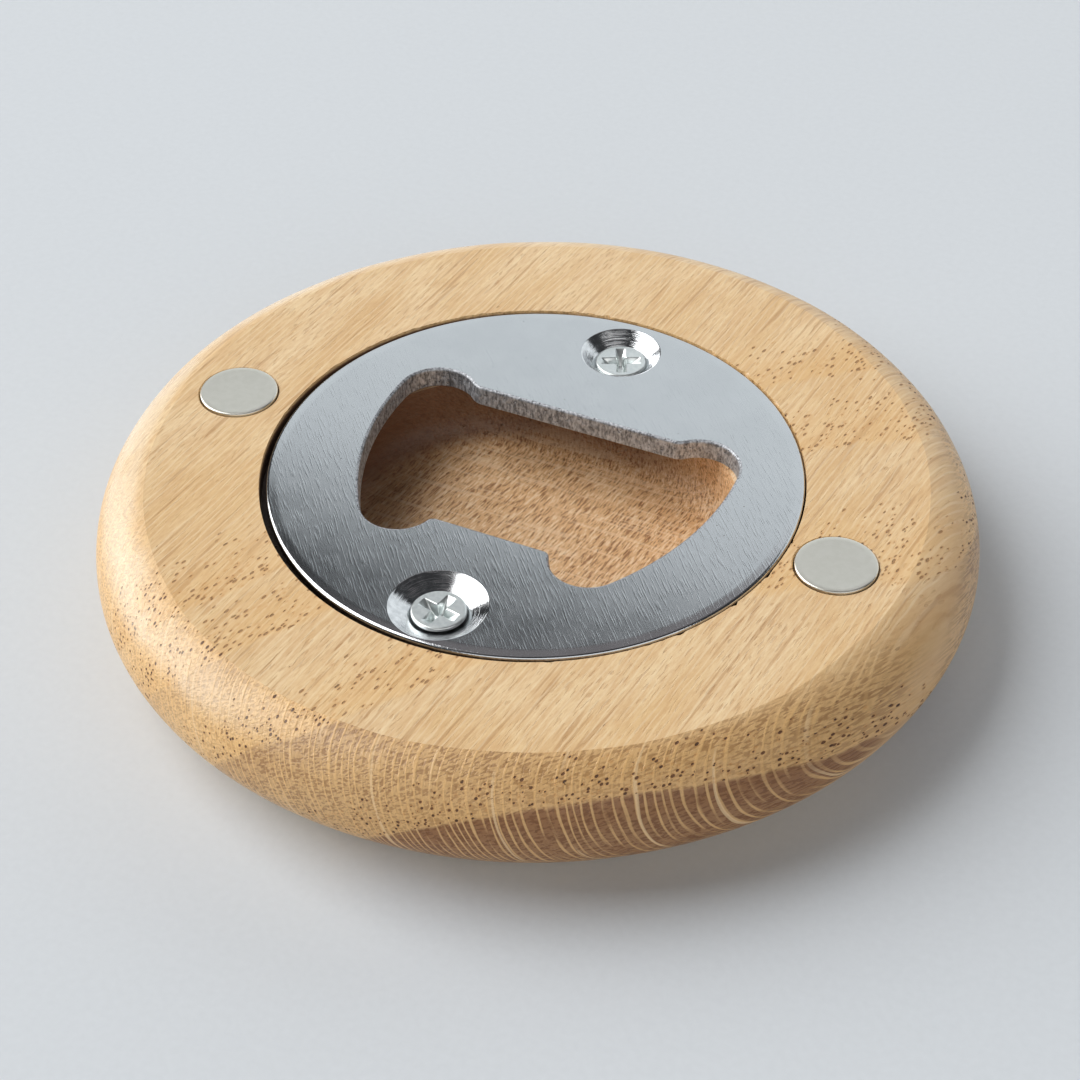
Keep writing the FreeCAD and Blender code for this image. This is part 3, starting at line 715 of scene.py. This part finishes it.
def blind_hole(wood, middle, levels, floor_tip=None):
    """A round hole from its mouth down: pairs of radius and height. Returns the mouth."""
    rings = [wood.ring(at_height(circle(radius, HOLE_STEPS, middle), height)) for radius, height in levels]
    wood.skin(rings)
    if floor_tip is None:
        wood.flat(rings[-1])
    else:
        wood.point(rings[-1], (*middle, floor_tip))
    return rings[0]


def make_wooden_body(material):
    wood = Solid()
    turns = [2 * math.pi * step / BODY_STEPS for step in range(BODY_STEPS)]
    edge = [wood.ring([sanded(radius, height, turn) for turn in turns]) for radius, height in edge_profile()]
    wood.skin(edge)
    wood.flat(edge[0])

    mouths = []
    for name in ("left_magnet", "right_magnet"):
        low, high, middle = node_box(name)
        radius = (high.x - low.x) / 2 + MAGNET_GAP
        bottom = node_box(name + "_glue")[0].z
        levels = [(radius + MOUTH_FLARE, TOP), (radius, TOP - MOUTH_DEPTH), (radius, bottom)]
        mouths.append(blind_hole(wood, (middle.x, middle.y), levels))

    rims = [(TOP, 1.0), (TOP - 0.08, 0.7), (TOP - 0.25, 0.3), (TOP - 0.6, 0.0), (SEAT_HEIGHT, 0.0)]
    seat = [wood.ring(chipped_seat(height, depth)) for height, depth in rims]
    wood.skin(seat)
    wood.flat(edge[-1], [seat[0], *mouths])

    pilots = []
    for name in ("upper_screw", "lower_screw"):
        middle = node_box(name)[2]
        sink_foot = SEAT_HEIGHT - (PILOT_SINK_RADIUS - PILOT_RADIUS)
        levels = [(PILOT_SINK_RADIUS, SEAT_HEIGHT), (PILOT_RADIUS, sink_foot), (PILOT_RADIUS, PILOT_FLOOR)]
        pilots.append(blind_hole(wood, (middle.x, middle.y), levels, PILOT_FLOOR - PILOT_POINT))

    wall = [(POCKET_RADIUS, SEAT_HEIGHT), (POCKET_RADIUS, SEAT_HEIGHT - 0.2)]
    fillet_middle = (POCKET_RADIUS - POCKET_FILLET, POCKET_FLOOR + POCKET_FILLET)
    wall += arc(fillet_middle, POCKET_FILLET, 0, -90, 10)
    pocket = [wood.ring(at_height(slot(radius), height)) for radius, height in wall]
    wood.skin(pocket)
    wood.flat(pocket[-1])
    wood.flat(seat[-1], [pocket[0], *pilots])
    return wood.finish("oak_disc", [material])


# ---- the steel plate -----------------------------------------------------------------------------


def run(first, last):
    """Points along a straight stretch, without its last one."""
    steps = max(1, round(math.dist(first, last) / FINE))
    return [(first[0] + (last[0] - first[0]) * step / steps, first[1] + (last[1] - first[1]) * step / steps)
            for step in range(steps)]


def bend(middle, radius, first, last, clockwise=False):
    """Points along an arc between two of its points, without the last one."""
    start, end = bearing(middle, first), bearing(middle, last)
    while clockwise and end > start:
        end -= 360
    while not clockwise and end < start:
        end += 360
    steps = max(3, round(math.radians(abs(end - start)) * radius / FINE))
    return arc(middle, radius, start, end, steps)[:-1]


def side_middle():
    """The middle of the long arc down the right side: it holds the ear's and the lobe's arcs inside."""
    gap = math.dist(EAR, LOBE)
    first, second = SIDE_RADIUS - EAR_RADIUS, SIDE_RADIUS - LOBE_RADIUS
    along = (first**2 - second**2 + gap**2) / (2 * gap)
    across = math.sqrt(first**2 - along**2)
    foot = step_towards(EAR, LOBE, along)
    unit = ((LOBE[0] - EAR[0]) / gap, (LOBE[1] - EAR[1]) / gap)
    return min((foot[0] + turn * unit[1], foot[1] - turn * unit[0]) for turn in (across, -across))


def corner_middle(neighbour, distance, y):
    """The middle of a small corner at a given y, left of a larger arc's middle and so far from it."""
    rise = y - neighbour[1]
    return (neighbour[0] - math.sqrt(distance**2 - rise**2), y)


def opening_outline():
    """The cap opening about the plate's middle, clockwise from the middle of the lip."""
    side = side_middle()
    lip_corner = corner_middle(EAR, EAR_RADIUS + LIP_ROUND, LIP_Y + LIP_ROUND)
    tongue_corner = corner_middle(LOBE, LOBE_RADIUS + TONGUE_ROUND, TONGUE_Y - TONGUE_ROUND)
    lip_end = (lip_corner[0], LIP_Y)
    lip_to_ear = step_towards(EAR, lip_corner, EAR_RADIUS)
    ear_to_side = step_towards(side, EAR, SIDE_RADIUS)
    side_to_lobe = step_towards(side, LOBE, SIDE_RADIUS)
    lobe_to_tongue = step_towards(LOBE, tongue_corner, LOBE_RADIUS)
    tongue_end = (tongue_corner[0], TONGUE_Y)
    right = run((0.0, LIP_Y), lip_end)
    right += bend(lip_corner, LIP_ROUND, lip_end, lip_to_ear)
    right += bend(EAR, EAR_RADIUS, lip_to_ear, ear_to_side, clockwise=True)
    right += bend(side, SIDE_RADIUS, ear_to_side, side_to_lobe, clockwise=True)
    right += bend(LOBE, LOBE_RADIUS, side_to_lobe, lobe_to_tongue, clockwise=True)
    right += bend(tongue_corner, TONGUE_ROUND, lobe_to_tongue, tongue_end)
    right += run(tongue_end, (0.0, TONGUE_Y)) + [(0.0, TONGUE_Y)]
    left = [(-x, y) for x, y in reversed(right[1:-1])]
    return right + left


def spread(outline, distance):
    """An outline moved outwards, to the left of a clockwise run, by a distance for each point."""
    moved = []
    for index, (x, y) in enumerate(outline):
        before = outline[index - 1]
        after = outline[(index + 1) % len(outline)]
        length = math.dist(before, after)
        shift = distance(x, y)
        shift_x = -shift * (after[1] - before[1]) / length
        shift_y = shift * (after[0] - before[0]) / length
        moved.append((x + shift_x, y + shift_y))
    return moved


def opening_wall(plate, top):
    """The punched wall: rolled top edge, smooth sheared band, torn band, small burr below."""
    outline = opening_outline()
    rows = [(OPENING_EDGE * (1 - math.sin(turn)), OPENING_EDGE * (1 - math.cos(turn)), 0.0)
            for turn in (0.0, 0.4, 0.8, 1.2, math.pi / 2)]
    torn_from = 0.35
    deep = PLATE_THICKNESS - 0.06
    steps = 11
    for step in range(steps + 1):
        depth = torn_from + (deep - torn_from) * step / steps
        tear = math.sin(math.pi * min(1.0, (step + 0.6) / steps))
        rows.append((-0.08 * step / steps, depth, tear))
    rows.append((-0.04, PLATE_THICKNESS, 0.0))
    rings = []
    for outward, depth, tear in rows:
        def shift(x, y):
            rough = ripple(x, y, depth, 0.32, 2.0) + 0.6 * ripple(x, y, depth, 0.15, 9.0)
            return outward + 0.035 * tear * rough
        points = spread(outline, shift)
        rings.append(plate.ring([(x, y + PLATE_MIDDLE.y, top - depth) for x, y in points]))
    plate.skin(rings, material=2)
    return rings[0], rings[-1]


def countersink(plate, middle, top, radius, angle):
    """A cone with the fine rings that its cutter left, then the bore."""
    edge = 0.1
    depth = (radius - BORE_RADIUS) / math.tan(math.radians(angle))
    steps = 54
    levels = [(radius + edge, 0.0), (radius + 0.3 * edge, 0.2 * edge)]
    for step in range(steps + 1):
        share = step / steps
        groove = 0.004 * math.sin(step * 2.1) * math.sin(math.pi * share)
        down = 0.5 * edge + share * (depth - 0.5 * edge) + groove
        levels.append((radius - share * (radius - BORE_RADIUS), down))
    levels.append((BORE_RADIUS, PLATE_THICKNESS))
    rings = [plate.ring(at_height(circle(size, HOLE_STEPS, middle), top - down)) for size, down in levels]
    plate.skin(rings, material=1)
    return rings[0], rings[-1]


def make_opener_plate(materials):
    plate = Solid()
    middle = (PLATE_MIDDLE.x, PLATE_MIDDLE.y)
    top = PLATE_HIGH.z
    bottom = PLATE_LOW.z
    rolled = PLATE_RADIUS - PLATE_EDGE
    profile = arc((rolled, bottom + PLATE_EDGE), PLATE_EDGE, -90, 0, 6)
    profile += arc((rolled, top - PLATE_EDGE), PLATE_EDGE, 0, 90, 6)
    edge = [plate.ring(at_height(circle(radius, BODY_STEPS, middle), height)) for radius, height in profile]
    plate.skin(edge)
    opening_top, opening_bottom = opening_wall(plate, top)
    tops, bottoms = [opening_top], [opening_bottom]
    for name, (radius, angle) in (("upper_screw", UPPER_SINK), ("lower_screw", LOWER_SINK)):
        hole = node_box(name)[2]
        mouth, exit_ring = countersink(plate, (hole.x, hole.y), top, radius, angle)
        tops.append(mouth)
        bottoms.append(exit_ring)
    plate.flat(edge[-1], tops)
    plate.flat(edge[0], bottoms)
    return plate.finish("steel_plate", materials)


# ---- the screws ----------------------------------------------------------------------------------


def rotated(points, turn):
    """Points in the plane turned about its origin."""
    across, up = math.cos(turn), math.sin(turn)
    return [(x * across - y * up, x * up + y * across) for x, y in points]


def cross_outline(reach, half_width):
    """The cross recess's outline, anticlockwise, with rounded wing ends and rounded inner corners."""
    tip = 0.12
    corner = 0.1
    wing = arc((reach - tip, tip - half_width), tip, -90, 0, 3)
    wing += arc((reach - tip, half_width - tip), tip, 0, 90, 3)
    wing += arc((half_width + corner, half_width + corner), corner, 270, 180, 4)
    return [point for quarter in range(4) for point in rotated(wing, math.radians(90 * quarter))]


def thread_height(turn, height, first, last):
    """How far the screw's surface stands out from its core at a place on the thread."""
    lead = height / THREAD_PITCH - turn / (2 * math.pi)
    ridge = max(0.0, 1 - abs((lead % 1.0) - 0.5) / THREAD_HALF_WIDTH)
    start = min(1.0, max(0.0, (first - height) / THREAD_PITCH))
    end = min(1.0, max(0.0, (height - last) / THREAD_PITCH))
    return (THREAD_RADIUS - CORE_RADIUS) * ridge * min(start, end)


def make_screw(name, node, turn, material):
    """A countersunk wood screw: head with a cross recess, cone, thread and point."""
    low, high, middle = node_box(node)
    screw = Solid()
    length = high.z - low.z
    neck = HEAD_EDGE + HEAD_RIM + HEAD_RADIUS - CORE_RADIUS
    head = arc((HEAD_RADIUS - HEAD_EDGE, -HEAD_EDGE), HEAD_EDGE, 90, 0, 5)
    head += [(HEAD_RADIUS, -HEAD_EDGE - HEAD_RIM), (HEAD_RADIUS - 0.05, -HEAD_EDGE - HEAD_RIM - 0.03)]
    rings = [screw.ring(at_height(circle(radius, SCREW_STEPS), height)) for radius, height in head]
    tip_start = TIP_LENGTH - length
    for step in range(SHANK_STEPS + 1):
        height = -neck + (neck - length + 0.1) * step / SHANK_STEPS
        core = CORE_RADIUS * min(1.0, max(0.08, (height + length) / TIP_LENGTH))
        points = []
        for x, y in circle(1.0, SCREW_STEPS):
            stand = thread_height(math.atan2(y, x), height, -PLAIN_LENGTH, tip_start - THREAD_PITCH)
            radius = core + stand * min(1.0, (height + length) / TIP_LENGTH)
            points.append((radius * x, radius * y, height))
        rings.append(screw.ring(points))
    screw.skin(rings)
    screw.point(rings[-1], (0.0, 0.0, -length))

    recess = [(1.0, 1.0, 0.0), (0.95, 0.86, 0.04), (0.62, 0.5, 0.42), (0.32, 0.42, WING_DEPTH)]
    walls = [screw.ring(at_height(cross_outline(WING_REACH * reach, WING_HALF_WIDTH * width), -depth))
             for reach, width, depth in recess]
    screw.skin(walls)
    screw.flat(walls[-1])
    screw.flat(rings[0], [walls[0]])
    place = Matrix.Translation((middle.x, middle.y, high.z)) @ Matrix.Rotation(math.radians(turn), 4, "Z")
    screw.mesh.transform(place)
    return screw.finish(name, [material], sharp_above=28.0)


# ---- the magnets ---------------------------------------------------------------------------------


def make_magnet(name, node, material):
    """A plated disc with tumbled edges and a face that is a few hundredths dished."""
    low, high, middle = node_box(node)
    magnet = Solid()
    radius = (high.x - low.x) / 2
    edge = 0.13
    profile = [(radius * share, low.z + 0.02) for share in (0.2, 0.5, 0.8)]
    profile += arc((radius - edge, low.z + edge), edge, -90, 0, 6)
    profile += arc((radius - edge, high.z - edge), edge, 0, 90, 6)
    profile += [(radius * share, high.z - 0.02 * (1 - share) ** 0.5) for share in (0.85, 0.7, 0.5, 0.3, 0.15)]
    place = (middle.x, middle.y)
    rings = [magnet.ring(at_height(circle(size, HOLE_STEPS, place), height)) for size, height in profile]
    magnet.skin(rings)
    magnet.point(rings[0], (*place, low.z + 0.02))
    magnet.point(rings[-1], (*place, high.z - 0.02))
    return magnet.finish(name, [material])


def make_glue(name, node, material):
    """A pressed film of glue with a wavy, rounded outline."""
    low, high, middle = node_box(node)
    film = Solid()
    full = (high.x - low.x) / 2
    thickness = high.z - low.z
    rings = []
    profile = [(0.5, 0.0), (0.95, 0.0), (0.99, 0.25), (1.0, 0.5), (0.99, 0.75), (0.95, 1.0), (0.5, 1.0)]
    for share, lift in profile:
        points = []
        for x, y in circle(1.0, HOLE_STEPS):
            reach = full * share * (0.95 + 0.045 * ripple(x, y, middle.x, 0.6))
            points.append((middle.x + reach * x, middle.y + reach * y, low.z + thickness * lift))
        rings.append(film.ring(points))
    film.skin(rings)
    film.flat(rings[0])
    film.flat(rings[-1])
    return film.finish(name, [material])


# ---- the whole opener ----------------------------------------------------------------------------


def stand_for(piece, node):
    """The piece takes the CAD node's place on the one body."""
    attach(piece, "root")
    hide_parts(node)


def make_opener():
    plated = zinc()
    nickel_skin = nickel()
    resin = glue()
    stand_for(make_wooden_body(oak()), "wooden_body")
    steels = [brushed_steel(), turned_steel(), sheared_steel()]
    stand_for(make_opener_plate(steels), "opener_plate")
    stand_for(make_screw("screw_beyond_lip", "upper_screw", UPPER_TURN, plated), "upper_screw")
    stand_for(make_screw("screw_by_tongue", "lower_screw", LOWER_TURN, plated), "lower_screw")
    for side in ("left", "right"):
        magnet = make_magnet(f"disc_magnet_{side}", f"{side}_magnet", nickel_skin)
        stand_for(magnet, f"{side}_magnet")
        film = make_glue(f"glue_film_{side}", f"{side}_magnet_glue", resin)
        stand_for(film, f"{side}_magnet_glue")


# ---- floor, light and camera ---------------------------------------------------------------------

VIEW_TURN = math.radians(25.25)
VIEW_TILT = math.radians(41.3)
VIEW_ROLL = math.radians(-0.63)
VIEW_DISTANCE = 182.01
VIEW_AIM = Vector((0.913, -1.555, 5.5))
LENS = 80.5


def lay_floor():
    half = 1.5
    data = bpy.data.meshes.new("floor")
    corners = [(-half, -half, 0.0), (half, -half, 0.0), (half, half, 0.0), (-half, half, 0.0)]
    data.from_pydata(corners, [], [(0, 1, 2, 3)])
    data.materials.append(floor_finish())
    floor = bpy.data.objects.new("floor", data)
    bpy.context.scene.collection.objects.link(floor)
    floor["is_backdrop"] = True


def direction(turn, height):
    """A direction seen from the object: degrees to the right of straight ahead, and above the floor."""
    heading = VIEW_TURN - math.radians(turn)
    rise = math.radians(height)
    return Vector((-math.sin(heading) * math.cos(rise), math.cos(heading) * math.cos(rise), math.sin(rise)))


def hang_lamp(name, turn, height, distance, size, radiance, tint=(1.0, 1.0, 1.0), roll=0.0):
    """A soft panel facing the object. Distance and size are in metres."""
    lamp = bpy.data.lights.new(name, "AREA")
    lamp.shape = "RECTANGLE"
    lamp.size, lamp.size_y = size
    lamp.energy = radiance * math.pi * size[0] * size[1]
    lamp.color = tint
    holder = bpy.data.objects.new(name, lamp)
    towards = direction(turn, height)
    turned = towards.to_track_quat("Z", "Y").to_matrix().to_4x4()
    holder.matrix_world = (Matrix.Translation(towards * distance) @ turned
                           @ Matrix.Rotation(math.radians(roll), 4, "Z"))
    bpy.context.scene.collection.objects.link(holder)


def light_scene():
    world = bpy.data.worlds.new("studio")
    world.use_nodes = True
    background = world.node_tree.nodes["Background"]
    background.inputs["Color"].default_value = (0.93, 0.96, 1.0, 1.0)
    background.inputs["Strength"].default_value = 0.05
    bpy.context.scene.world = world
    hang_lamp("window", -72, 36, 3.0, (2.9, 4.0), 3.9, (1.0, 1.0, 0.99))
    hang_lamp("far_panel", 26, 22.5, 3.0, (5.2, 2.42), 0.97, (0.93, 0.98, 1.0), roll=2)
    hang_lamp("ceiling", -20, 68, 3.0, (3.6, 2.2), 0.2, (1.0, 0.9, 0.91))
    hang_lamp("near_fill", 164, 30, 3.0, (5.0, 2.2), 1.12, (1.0, 0.99, 0.98))


def set_camera():
    back = -Vector((-math.sin(VIEW_TURN) * math.cos(VIEW_TILT), math.cos(VIEW_TURN) * math.cos(VIEW_TILT),
                    -math.sin(VIEW_TILT)))
    right = Vector((math.cos(VIEW_TURN), math.sin(VIEW_TURN), 0.0))
    up = back.cross(right)
    turned = Matrix((right, up, back)).transposed().to_4x4()
    camera = bpy.data.cameras.new("camera")
    camera.lens = LENS
    camera.clip_start = 0.01
    holder = bpy.data.objects.new("camera", camera)
    place = (VIEW_AIM + back * VIEW_DISTANCE) * MM
    holder.matrix_world = Matrix.Translation(place) @ turned @ Matrix.Rotation(VIEW_ROLL, 4, "Z")
    bpy.context.scene.collection.objects.link(holder)
    bpy.context.scene.camera = holder


bpy.context.scene.view_settings.view_transform = "Standard"
set_camera()
lay_floor()
light_scene()
make_opener()

sizes = {"cad": cad_box, "visual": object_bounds()}
sizes = {name: [list(corner) for corner in box] for name, box in sizes.items()}
